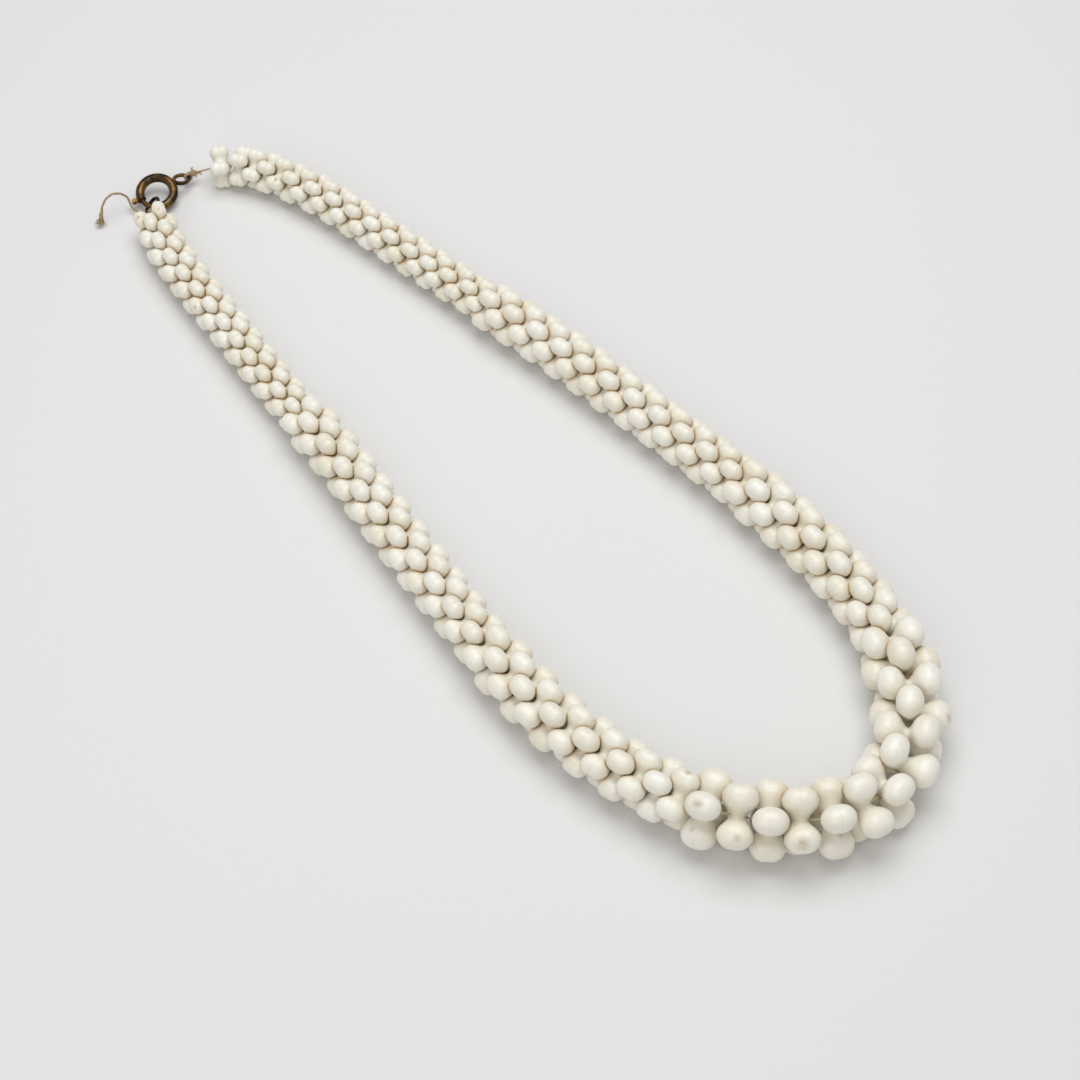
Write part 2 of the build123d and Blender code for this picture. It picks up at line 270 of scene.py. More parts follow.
@dataclass(frozen=True)
class MouldedPolystyrene:
    """Cream polystyrene, injection moulded and handled for decades.

    The mould leaves a gloss a little softened by wear and a fine parting line round each
    cross. The waists and the places where knobs meet are painted with orange-brown shade.
    """

    name: str = "moulded_polystyrene"
    clean: str = "f9f8ef"
    yellowed: str = "f1eddc"
    # Colour of the painted shade that darkens the waists round each hub
    waist_shade_colour: str = "e0cb9c"
    # Warm painted shade where knobs meet, and the browning of open parting lines
    grime_and_contact_shade: str = "c29f63"
    stain: str = "a88752"
    # Where the noise of clean and yellowed plastic begins and ends
    yellowing: Pair = (0.45, 1.25 / 1.3)
    roughness: float = 0.3
    # How much glossier and duller than that the fine scratches make it
    roughness_play: Pair = (-0.05, 0.12)
    blotch_mm: float = 5.0
    scratch_mm: float = 0.5
    # Strength of the scratches' relief, and its depth in millimetres
    scratch_relief: Pair = (0.35, 0.03)
    # Patchiness of the painted contact shade and of the stains: least and greatest share
    contact_shade_play: Pair = (0.45, 1.0)
    stain_play: Pair = (0.45, 1.15)
    seam_half_mm: float = 0.1
    seam_shade: float = 0.3
    seam_height: float = -0.5
    index: float = 1.55
    # Light that scatters within the plastic: share, colour and depth
    scatter: float = 0.12
    scatter_colour: Triple = (1.0, 0.8, 0.5)
    scatter_mm: float = 0.9

    def build(self) -> Material:
        """Make the material, which reads the beads' own measures from mesh attributes.

        Returns:
            The material.
        """
        material, tree = new_material(self.name)
        place = add_node(tree, "ShaderNodeTexCoord").outputs["Object"]
        blotch = noise(tree, place, self.blotch_mm, 3.0)
        fine = noise(tree, place, self.scratch_mm, 4.0)

        # Body of the plastic, from bead to bead a little more or less yellowed
        uneven = arithmetic(tree, "ADD", blotch, measure(tree, "tone"))
        stops = zip(self.yellowing, (linear(self.clean), linear(self.yellowed)))
        base = ramp(tree, uneven, tuple(stops))
        # Painted shade darkens the waists round each hub, in place of occlusion
        base = mixed(tree, measure(tree, "hollow"), base, linear(self.waist_shade_colour))

        # Painted shade and warm bounce light where knobs meet, then the old stains
        patchy = remap(tree, blotch, (0.3, 0.7), self.contact_shade_play)
        contact_shade_share = arithmetic(tree, "MULTIPLY", measure(tree, "touch"), patchy, clamp=True)
        base = mixed(tree, contact_shade_share, base, linear(self.grime_and_contact_shade))
        rough = remap(tree, fine, (0.25, 0.7), self.stain_play)
        stained = arithmetic(tree, "MULTIPLY", measure(tree, "stain"), rough, clamp=True)
        base = mixed(tree, stained, base, linear(self.stain))

        # Parting line, browned and slightly sunken where it is open
        away = arithmetic(tree, "ABSOLUTE", measure(tree, "seam"))
        near = remap(tree, away, (0.0, self.seam_half_mm), (1.0, 0.0), "SMOOTHSTEP")
        line = arithmetic(tree, "MULTIPLY", near, measure(tree, "open_seam"))
        faint = arithmetic(tree, "MULTIPLY", line, self.seam_shade)
        base = mixed(tree, faint, base, linear(self.grime_and_contact_shade))

        low, high = self.roughness_play
        dull = remap(tree, fine, (0.3, 0.8), (self.roughness + low, self.roughness + high))
        height = arithmetic(tree, "MULTIPLY_ADD", line, self.seam_height, fine)
        close_material(
            tree,
            {
                "Base Color": base,
                "Roughness": dull,
                "IOR": self.index,
                "Subsurface Weight": self.scatter,
                "Subsurface Radius": self.scatter_colour,
                "Subsurface Scale": self.scatter_mm * MM,
                "Normal": relief(tree, height, *self.scratch_relief),
            },
        )
        return material


@dataclass(frozen=True)
class TarnishedBrass:
    """Drawn brass, worn and darkened to brown-black.

    Skin and air have turned the ring dark brown; it shines golden only where it is rubbed,
    and a little verdigris has bloomed on it.
    """

    name: str = "tarnished_brass"
    dark: str = "33271a"
    brown: str = "644a2b"
    rubbed: str = "94733f"
    green: str = "4d6a58"
    # Noise at which the metal is dark, brown and rubbed bright
    wear: Triple = (0.36, 0.54, 0.7)
    patch_mm: float = 2.6
    bloom_mm: float = 1.3
    bloom_share: float = 0.55
    metallic: float = 0.85
    # Roughness of the dark metal and of the rubbed metal
    roughness: Pair = (0.42, 0.3)
    grain_mm: float = 0.25
    grain_relief: Pair = (0.3, 0.03)

    def build(self) -> Material:
        """Make the material: one noise for wear, one for verdigris and one for grain.

        Returns:
            The material.
        """
        material, tree = new_material(self.name)
        place = add_node(tree, "ShaderNodeTexCoord").outputs["Object"]
        patch = noise(tree, place, self.patch_mm, 5.0)
        grain = noise(tree, place, self.grain_mm, 3.0)
        bloom = noise(tree, place, self.bloom_mm, 2.0)
        colours = (linear(self.dark), linear(self.brown), linear(self.rubbed))
        base = ramp(tree, patch, tuple(zip(self.wear, colours)))
        greened = remap(tree, bloom, (0.6, 0.7), (0.0, self.bloom_share))
        close_material(
            tree,
            {
                "Base Color": mixed(tree, greened, base, linear(self.green)),
                "Metallic": self.metallic,
                "Roughness": remap(tree, patch, (0.35, 0.7), self.roughness),
                "Normal": relief(tree, grain, *self.grain_relief),
            },
        )
        return material


@dataclass(frozen=True)
class WaxedCotton:
    """Waxed cotton thread, twisted from plies: matt, with paler worn fibres.

    It is brown with tarnish by the clasp and has kept its pale tan at the front.
    """

    name: str = "waxed_cotton"
    dark: str = "7f6544"
    pale: str = "cfb78d"
    clean_dark: str = "c4b48e"
    clean_pale: str = "ece2c8"
    # Noise at which a fibre is darkest and palest
    fibre_range: Pair = (0.3, 0.75)
    fibre_mm: float = 0.12
    fibre_relief: Pair = (0.5, 0.04)
    # Y in metres between which the clean thread turns brown towards the clasp
    browning: Pair = (-0.02, 0.05)
    roughness: float = 0.8
    sheen: float = 0.25

    def build(self) -> Material:
        """Make the material: fine fibre noise in colour and relief.

        Returns:
            The material.
        """
        material, tree = new_material(self.name)
        place = add_node(tree, "ShaderNodeTexCoord").outputs["Object"]
        fibre = noise(tree, place, self.fibre_mm, 3.0)
        colours = []
        for first, second in ((self.clean_dark, self.clean_pale), (self.dark, self.pale)):
            stops = zip(self.fibre_range, (linear(first), linear(second)))
            colours.append(ramp(tree, fibre, tuple(stops)))
        parts = add_node(tree, "ShaderNodeSeparateXYZ", inputs={0: place}).outputs
        by_clasp = remap(tree, parts["Y"], self.browning, (0.0, 1.0))
        close_material(
            tree,
            {
                "Base Color": mixed(tree, by_clasp, *colours),
                "Roughness": self.roughness,
                "Sheen Weight": self.sheen,
                "Normal": relief(tree, fibre, *self.fibre_relief),
            },
        )
        return material


@dataclass(frozen=True)
class PaperFloor:
    """Matt seamless paper: even, pale and neutral, so that only soft shadow falls on it."""

    name: str = "seamless_paper"
    colour: str = "e8e8e8"
    roughness: float = 0.9

    def build(self) -> Material:
        """Make the plain material.

        Returns:
            The material.
        """
        material, tree = new_material(self.name)
        close_material(tree, {"Base Color": linear(self.colour), "Roughness": self.roughness})
        return material


def mesh_object(
    name: str,
    points: Array,
    faces: Array,
    material: Material,
    attributes: dict[str, Array] | None = None,
) -> bpy.types.Object:
    """Make a smooth-shaded mesh object from arrays.

    Args:
        name: Name of the object.
        points: Vertices in millimetres, one row each.
        faces: Vertex numbers, four to a row.
        material: Its material.
        attributes: Values for each vertex, by name.

    Returns:
        The object, linked to the scene.
    """
    mesh = bpy.data.meshes.new(name)
    mesh.vertices.add(len(points))
    mesh.vertices.foreach_set("co", (points * MM).astype(np.float32).ravel())
    mesh.loops.add(faces.size)
    mesh.loops.foreach_set("vertex_index", faces.astype(np.int32).ravel())
    mesh.polygons.add(len(faces))
    mesh.polygons.foreach_set("loop_start", np.arange(0, faces.size, 4, dtype=np.int32))
    mesh.update(calc_edges=True)
    mesh.validate()
    mesh.polygons.foreach_set("use_smooth", np.ones(len(mesh.polygons), dtype=bool))
    for key, values in (attributes or {}).items():
        layer = mesh.attributes.new(key, "FLOAT", "POINT")
        layer.data.foreach_set("value", values.astype(np.float32))
    mesh.materials.append(material)
    piece = bpy.data.objects.new(name, mesh)
    bpy.context.scene.collection.objects.link(piece)
    return piece


def smooth_least(first: Array, second: Array, blend: float) -> Array:
    """Smaller of two distances, with a rounded join.

    Args:
        first: Distances to one form.
        second: Distances to the other.
        blend: Width of the join.

    Returns:
        Distances to the joined form.
    """
    share = np.clip(0.5 + 0.5 * (second - first) / blend, 0, 1)
    return second * (1 - share) + first * share - blend * share * (1 - share)


def ellipsoid(places: Array, radii: Array) -> Array:
    """Signed distance to an ellipsoid, near enough for its surface.

    Args:
        places: Places from its middle, one row each.
        radii: Its three half lengths.

    Returns:
        A value for each place, negative inside.
    """
    near = np.linalg.norm(places / radii, axis=1)
    slope = np.linalg.norm(places / radii**2, axis=1) + TINY
    return near * (near - 1) / slope


# How often the net's vertices are moved on to the true surface
SETTLING_ROUNDS = 3


@dataclass(frozen=True)
class CrossBead:
    """One size of moulded cross: four two-lobed knobs on waisted arms round a drilled hub.

    neck is an arm's width at the hub and step the size of the quads. lobing is how far a
    knob's lobes part, by its half length; web is the rounding between arms and flare the
    stretch over which an arm widens, both by the span.
    """

    span: float
    knob_width: float
    knob_length: float
    neck: float
    step: float
    lobing: float
    web: float
    flare: Pair
    hole: float = 1.1
    flare_power: float = 1.7
    # Width and length of an arm where it meets its knob, by the knob's
    fill: Pair = (0.92, 0.93)
    # Rounding of the joins between lobes and from arm to knob, by half width and half span
    rounding: float = 0.1

    @property
    def reach(self) -> float:
        """Distance from the thread to the middle of a knob."""
        return (self.span - self.knob_width) / 2

    def distance(self, points: Array) -> Array:
        """Signed distance to the moulding, near enough for its surface.

        Args:
            points: Places in the bead's own frame, the thread along Z, one row each.

        Returns:
            A value for each place, negative inside.
        """
        x, y, z = np.abs(points).T
        arms = smooth_least(self.arm(x, y, z), self.arm(y, x, z), self.web * self.span)
        bore = np.hypot(x, y) - self.hole / 2
        return np.maximum(arms, -bore)

    def arm(self, out: Array, side: Array, along: Array) -> Array:
        """Signed distance to one arm and its knob.

        Args:
            out: Distance along the arm.
            side: Distance across the arm, square to the thread.
            along: Distance along the thread.

        Returns:
            A value for each place.
        """
        half_width = self.knob_width / 2
        half_length = self.knob_length / 2
        lobe_shift = self.lobing * half_length
        radii = np.array([half_width, half_width, half_length - lobe_shift])
        first, second = (
            ellipsoid(np.stack([out - self.reach, side, along + shift], 1), radii)
            for shift in (-lobe_shift, lobe_shift)
        )
        knob = smooth_least(first, second, self.rounding * half_width)
        start, end = self.flare
        gone = np.clip((out / self.span - start) / (end - start), 0, 1)
        rise = 1 - (1 - gone) ** self.flare_power
        half_neck = self.neck / 2
        wide = half_neck + (self.fill[0] * half_width - half_neck) * rise
        tall = half_neck + (self.fill[1] * half_length - half_neck) * rise
        round_off = np.hypot(side / wide, along / tall)
        bar = (round_off - 1) * np.minimum(tall, wide)
        bar = np.maximum(bar, out - self.reach)
        return smooth_least(knob, bar, self.rounding * self.span / 2)

    def slope(self, points: Array) -> Array:
        """Direction in which the distance grows.

        Args:
            points: Places in the bead's frame.

        Returns:
            A unit vector for each place.
        """
        nudge = 0.01
        parts = []
        for axis in range(3):
            shift = np.zeros(3)
            shift[axis] = nudge
            parts.append(self.distance(points + shift) - self.distance(points - shift))
        out = np.stack(parts, 1)
        return out / (np.linalg.norm(out, axis=1, keepdims=True) + TINY)

    def skin(self) -> tuple[Array, Array]:
        """Surface of the moulding as an even net of quads.

        Returns:
            Vertices, and faces of four vertices.
        """
        half = np.array([self.span / 2, self.span / 2, self.knob_length / 2]) + 2 * self.step
        counts = np.ceil(2 * half / self.step).astype(int) + 1
        start = -(counts - 1) / 2 * self.step
        axes = [start[i] + self.step * np.arange(counts[i]) for i in range(3)]
        grid = np.stack(np.meshgrid(*axes, indexing="ij"), -1)
        values = self.distance(grid.reshape(-1, 3)).reshape(grid.shape[:3])
        corners = [(i, j, k) for i in (0, 1) for j in (0, 1) for k in (0, 1)]
        cells = tuple(counts - 1)

        def at(array: Array, corner: tuple[int, int, int]) -> Array:
            """Values of an array at one corner of every cell."""
            i, j, k = corner
            return array[i : cells[0] + i, j : cells[1] + j, k : cells[2] + k]

        inside = sum(at(values < 0, corner).astype(int) for corner in corners)
        active = (inside > 0) & (inside < 8)
        numbers = np.full(cells, -1)
        numbers[active] = np.arange(active.sum())
        total = np.zeros(cells + (3,))
        crossings = np.zeros(cells)
        for first in corners:
            for axis in range(3):
                if first[axis]:
                    continue
                second = tuple(1 if i == axis else first[i] for i in range(3))
                low, high = at(values, first), at(values, second)
                cut = (low < 0) != (high < 0)
                share = np.where(cut, low / np.where(cut, low - high, 1), 0)
                place = np.array(first) + share[..., None] * (np.array(second) - first)
                total += place * cut[..., None]
                crossings += cut
        index = np.argwhere(active)
        points = start + self.step * (index + total[active] / crossings[active][:, None])
        for _ in range(SETTLING_ROUNDS):
            points -= self.slope(points) * self.distance(points)[:, None]
        faces = []
        for axis in range(3):
            one, two = [i for i in range(3) if i != axis]
            low = values[tuple(slice(0, counts[i] - (i == axis)) for i in range(3))]
            high = values[tuple(slice(i == axis, counts[i]) for i in range(3))]
            cut = np.argwhere((low < 0) != (high < 0))
            keep = (cut[:, one] > 0) & (cut[:, two] > 0)
            cut = cut[keep]
            ring = []
            for shift_one, shift_two in ((1, 1), (0, 1), (0, 0), (1, 0)):
                cell = cut.copy()
                cell[:, one] -= shift_one
                cell[:, two] -= shift_two
                ring.append(numbers[tuple(cell.T)])
            quads = np.stack(ring, 1)
            entering = low[tuple(cut.T)] < 0
            if axis == 1:
                entering = ~entering
            quads[~entering] = quads[~entering][:, ::-1]
            faces.append(quads)
        return points, np.concatenate(faces)


class BeadSize(Enum):
    """The four sizes that the string is graded in, as the construction model has them."""

    SMALL = CrossBead(
        span=8.0, knob_width=2.45, knob_length=3.55, neck=1.7,
        step=0.3, lobing=0.33, web=0.1, flare=(0.0, 0.29),
    )
    MEDIUM = CrossBead(
        span=9.6, knob_width=3.04, knob_length=4.25, neck=1.95,
        step=0.33, lobing=0.28, web=0.09, flare=(0.01, 0.3),
    )
    LARGE = CrossBead(
        span=10.7, knob_width=3.44, knob_length=4.7, neck=2.1,
        step=0.34, lobing=0.23, web=0.08, flare=(0.02, 0.31),
    )
    FRONT = CrossBead(
        span=12.8, knob_width=4.25, knob_length=5.55, neck=2.45,
        step=0.27, lobing=0.18, web=0.05, flare=(0.05, 0.34),
    )


@dataclass
class PlacedBead:
    """One bead on the string: its size and its frame."""

    node: str
    size: CrossBead
    centre: Array
    axes: Array

    def to_world(self, points: Array) -> Array:
        """Places of the bead's frame in the row's frame."""
        return points @ self.axes.T + self.centre

    def to_local(self, points: Array) -> Array:
        """Places of the row's frame in the bead's frame."""
        return (points - self.centre) @ self.axes


@dataclass
class BeadString:
    """All beads, drawn in pieces along the string."""

    material: Material
    beads_per_piece: int = 24
    seed: int = 7
    # How much more yellowed the most yellowed bead is
    tone_spread: float = 0.3
    # Painted shade round the hub: its strength, and how far out it goes towards the knobs
    hub_shade: float = 0.5
    hub_reach: float = 0.5
    # Painted dark shade where beads touch: its reach in millimetres and how sharply it ends
    contact_shade_reach: float = 0.35
    contact_shade_edge: float = 1.3
    # Soft painted shade round each contact: its strength, and its reach by the bead's span
    soft_contact_shade: float = 0.036
    soft_contact_shade_reach: float = 0.1
    # Share of knobs with an open parting line; how far the line wanders and waves
    seamed_share: float = 0.3
    seam_wander: float = 0.2
    seam_wave: float = 0.04
    seam_waves_per_mm: float = 2.0
    beads: list[PlacedBead] = field(default_factory=list)

    def loose_parts(self, node: str) -> list[tuple[Array, Array]]:
        """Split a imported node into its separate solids.

        Args:
            node: Name of the node.

        Returns:
            For each solid, the middles of its triangles and their areas.
        """
        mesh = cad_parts[node].data
        mesh.calc_loop_triangles()
        points = np.zeros(len(mesh.vertices) * 3)
        mesh.vertices.foreach_get("co", points)
        points = points.reshape(-1, 3) / MM
        corners = np.zeros(len(mesh.loop_triangles) * 3, dtype=int)
        mesh.loop_triangles.foreach_get("vertices", corners)
        corners = corners.reshape(-1, 3)
        _, same = np.unique(np.round(points, 3), axis=0, return_inverse=True)
        same = same.ravel()
        triangles = same[corners]
        labels = np.arange(same.max() + 1)
        while True:
            least = labels[triangles].min(1)
            fresh = labels.copy()
            for corner in range(3):
                np.minimum.at(fresh, triangles[:, corner], least)
            fresh = fresh[fresh]
            if (fresh == labels).all():
                break
            labels = fresh
        owner = labels[triangles[:, 0]]
        middles = points[corners].mean(1)
        sides = points[corners[:, 1:]] - points[corners[:, :1]]
        areas = np.linalg.norm(np.cross(sides[:, 0], sides[:, 1]), axis=1) / 2
        return [(middles[owner == one], areas[owner == one]) for one in np.unique(owner)]

    def placed(self, node: str, middles: Array, areas: Array) -> PlacedBead:
        """Find a bead's frame and size from its solid.

        Args:
            node: Name of the node it is in.
            middles: Middles of its triangles.
            areas: Areas of its triangles.

        Returns:
            The bead.
        """
        centre = (middles * areas[:, None]).sum(0) / areas.sum()
        away = middles - centre
        spread = (away * areas[:, None]).T @ away
        along = np.linalg.eigh(spread)[1][:, 0]
        side = np.cross(along, [0.0, 0.0, 1.0])
        side /= np.linalg.norm(side)
        up = np.cross(side, along)
        turn = away @ side + 1j * (away @ up)
        fourth = (areas * turn**4).sum()
        angle = np.angle(fourth) / 4
        arm = side * cos(angle) + up * sin(angle)
        other = np.cross(along, arm)
        centre = self.boxed_middle(middles, arm, other, along)
        span = np.ptp(middles @ arm)
        size = min((one.value for one in BeadSize), key=lambda one: abs(one.span - span))
        return PlacedBead(node, size, centre, np.stack([arm, other, along], 1))

    def boxed_middle(self, middles: Array, *axes: Array) -> Array:
        """Middle of a bead's extents along its own axes."""
        spans = [middles @ axis for axis in axes]
        return sum(axis * (span.min() + span.max()) / 2 for axis, span in zip(axes, spans))

    def find(self) -> None:
        """Find every bead and put them in order, from the end ring round to the eyelet."""
        nodes = [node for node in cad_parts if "bead" in node]
        loose = [self.placed(node, *part) for node in nodes for part in self.loose_parts(node)]
        low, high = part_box("end_ring")
        place = np.array((low + high) / 2) / MM
        while loose:
            gaps = [np.linalg.norm(bead.centre - place) for bead in loose]
            bead = loose.pop(int(np.argmin(gaps)))
            self.beads.append(bead)
            place = bead.centre
        LOG.info("%d beads found", len(self.beads))

    def touch(self, number: int, points: Array) -> Array:
        """Painted shade where a bead comes close to its neighbours.

        Args:
            number: Place of the bead in the string.
            points: Vertices of the bead in the row's frame.

        Returns:
            A share for each vertex.
        """
        share = np.zeros(len(points))
        span = self.beads[number].size.span
        for step in (-2, -1, 1, 2):
            if 0 <= number + step < len(self.beads):
                other = self.beads[number + step]
                gap = np.maximum(other.size.distance(other.to_local(points)), 0)
                # Painted dark shade close to the neighbour, and a soft painted shade farther
                # out
                close = np.exp(-((gap / self.contact_shade_reach) ** self.contact_shade_edge))
                soft_contact_shade = self.soft_contact_shade * span * np.exp(-gap / (self.soft_contact_shade_reach * span))
                share = np.maximum(share, np.maximum(close, soft_contact_shade))
        return share

    def seam(self, rng: np.random.Generator, local: Array) -> tuple[Array, Array]:
        """Parting line of the mould, and the few knobs on which it has opened and browned.

        Args:
            rng: Source of chance.
            local: Vertices of the bead in its own frame.

        Returns:
            Signed distance to the line in millimetres, and how open the line is.
        """
        across = local[:, :2]
        wander = rng.uniform(-self.seam_wander, self.seam_wander)
        wander += self.seam_wave * np.sin(self.seam_waves_per_mm * across.sum(1))
        is_open = np.zeros(len(local))
        for arm in ((1, 0), (0, 1), (-1, 0), (0, -1)):
            if rng.random() < self.seamed_share:
                out, side = across @ np.array(arm), np.abs(across @ np.array(arm[::-1]))
                start = rng.uniform(2.0, 4.0)
                beyond = np.clip(out - start * side, 0, 1) * rng.uniform(0.4, 1.0)
                is_open = np.maximum(is_open, beyond)
        return local[:, 2] - wander, is_open

    def groups(self) -> list[list[int]]:
        """Share the beads out among pieces, each of neighbours in one node.

        Returns:
            Numbers of the beads of each piece.
        """
        groups: list[list[int]] = []
        for number, bead in enumerate(self.beads):
            same = groups and self.beads[groups[-1][0]].node == bead.node
            if not same or len(groups[-1]) >= self.beads_per_piece:
                groups.append([])
            groups[-1].append(number)
        return groups

    def build(self) -> None:
        """Make the pieces of the string."""
        self.find()
        rng = np.random.default_rng(self.seed)
        skins = {one.value: one.value.skin() for one in BeadSize}
        tones = rng.uniform(0, self.tone_spread, len(self.beads))
        groups = self.groups()
        for order, group in enumerate(groups, start=1):
            points, faces, count = [], [], 0
            layers: dict[str, list[Array]] = {
                key: [] for key in ("tone", "touch", "hollow", "seam", "open_seam", "stain")
            }
            for number in group:
                bead = self.beads[number]
                local, quads = skins[bead.size]
                world = bead.to_world(local)
                out = np.abs(local[:, :2]).max(1) / bead.size.reach
                distance, is_open = self.seam(rng, local)
                layers["tone"].append(np.full(len(local), tones[number]))
                # Painted shade where neighbouring beads come close
                layers["touch"].append(self.touch(number, world))
                # Painted shade round the hub, fading out towards the knobs
                shade = np.clip(1 - out / self.hub_reach, 0, 1)
                layers["hollow"].append(self.hub_shade * shade)
                layers["seam"].append(distance)
                layers["open_seam"].append(is_open)
                layers["stain"].append(stains(world))
                points.append(world)
                faces.append(quads + count)
                count += len(local)
            node = self.beads[group[0]].node
            piece = mesh_object(
                f"moulded_{node}_{order:02d}",
                np.concatenate(points),
                np.concatenate(faces),
                self.material,
                {key: np.concatenate(parts) for key, parts in layers.items()},
            )
            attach(piece, Body.STRING.value)
            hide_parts(node)
        LOG.info("%d bead pieces", len(groups))


# Old stains on single knobs: place in the row's frame and radius, in millimetres, and strength
STAINS: tuple[tuple[float, float, float, float, float], ...] = (
    (33.0, -71.1, 12.0, 0.9, 0.6),
    (38.9, -75.5, 9.1, 0.6, 0.5),
    (48.8, -76.4, 9.1, 1.2, 0.5),
    (54.9, -73.3, 6.2, 0.6, 0.5),
    (31.8, -65.0, 11.0, 0.6, 0.8),
    (73.3, -53.2, 8.2, 0.8, 0.5),
    (71.4, -59.5, 5.0, 0.9, 0.5),
    (-40.3, 67.7, 6.0, 0.4, 1.0),
    (-61.1, 58.5, 7.5, 0.35, 0.9),
    (-65.1, 57.8, 6.1, 0.4, 0.9),
    (-52.7, 35.6, 5.9, 0.35, 0.9),
    (32.3, -72.4, 6.3, 0.4, 0.5),
)

# A stain ends this many radii from its middle, and fades over the last of them
STAIN_CORE = 1.3


def stains(points: Array) -> Array:
    """Strength of the old stains at some places.

    Args:
        points: Places in the row's frame.

    Returns:
        A share for each place.
    """
    share = np.zeros(len(points))
    for x, y, z, radius, strength in STAINS:
        gap = np.linalg.norm(points - np.array([x, y, z]), axis=1)
        share = np.maximum(share, strength * np.clip(STAIN_CORE - gap / radius, 0, 1))
    return np.clip(share, 0, 1)


# Points reckoned between two chosen points of a route
ROUTE_SAMPLES = 24


def smooth_route(points: Sequence[Sequence[float]], step: float) -> Array:
    """Even points along a smooth curve through a few points.

    Args:
        points: Points to pass through.
        step: Distance between the points returned.

    Returns:
        One row for each point.
    """
    given = np.array(points, float)
    padded = np.vstack([2 * given[0] - given[1], given, 2 * given[-1] - given[-2]])
    fine = []
    for number in range(len(given) - 1):
        before, start, end, after = padded[number : number + 4]
        for share in np.linspace(0, 1, ROUTE_SAMPLES, endpoint=False):
            bent = (
                2 * start
                + (end - before) * share
                + (2 * before - 5 * start + 4 * end - after) * share**2
                + (3 * start - before - 3 * end + after) * share**3
            )
            fine.append(0.5 * bent)
    fine.append(given[-1])
    line = np.array(fine)
    lengths = np.concatenate([[0], np.cumsum(np.linalg.norm(np.diff(line, axis=0), axis=1))])
    places = np.linspace(0, lengths[-1], max(2, int(lengths[-1] / step) + 1))
    return np.stack([np.interp(places, lengths, line[:, i]) for i in range(3)], 1)


def square_to(axis: Array, hint: Sequence[float]) -> tuple[Array, Array]:
    """Two unit directions square to an axis and to each other.

    Args:
        axis: Unit direction.
        hint: Any direction that isn't along it.

    Returns:
        The two directions.
    """
    side = np.cross(axis, hint)
    side /= np.linalg.norm(side)
    return side, np.cross(axis, side)


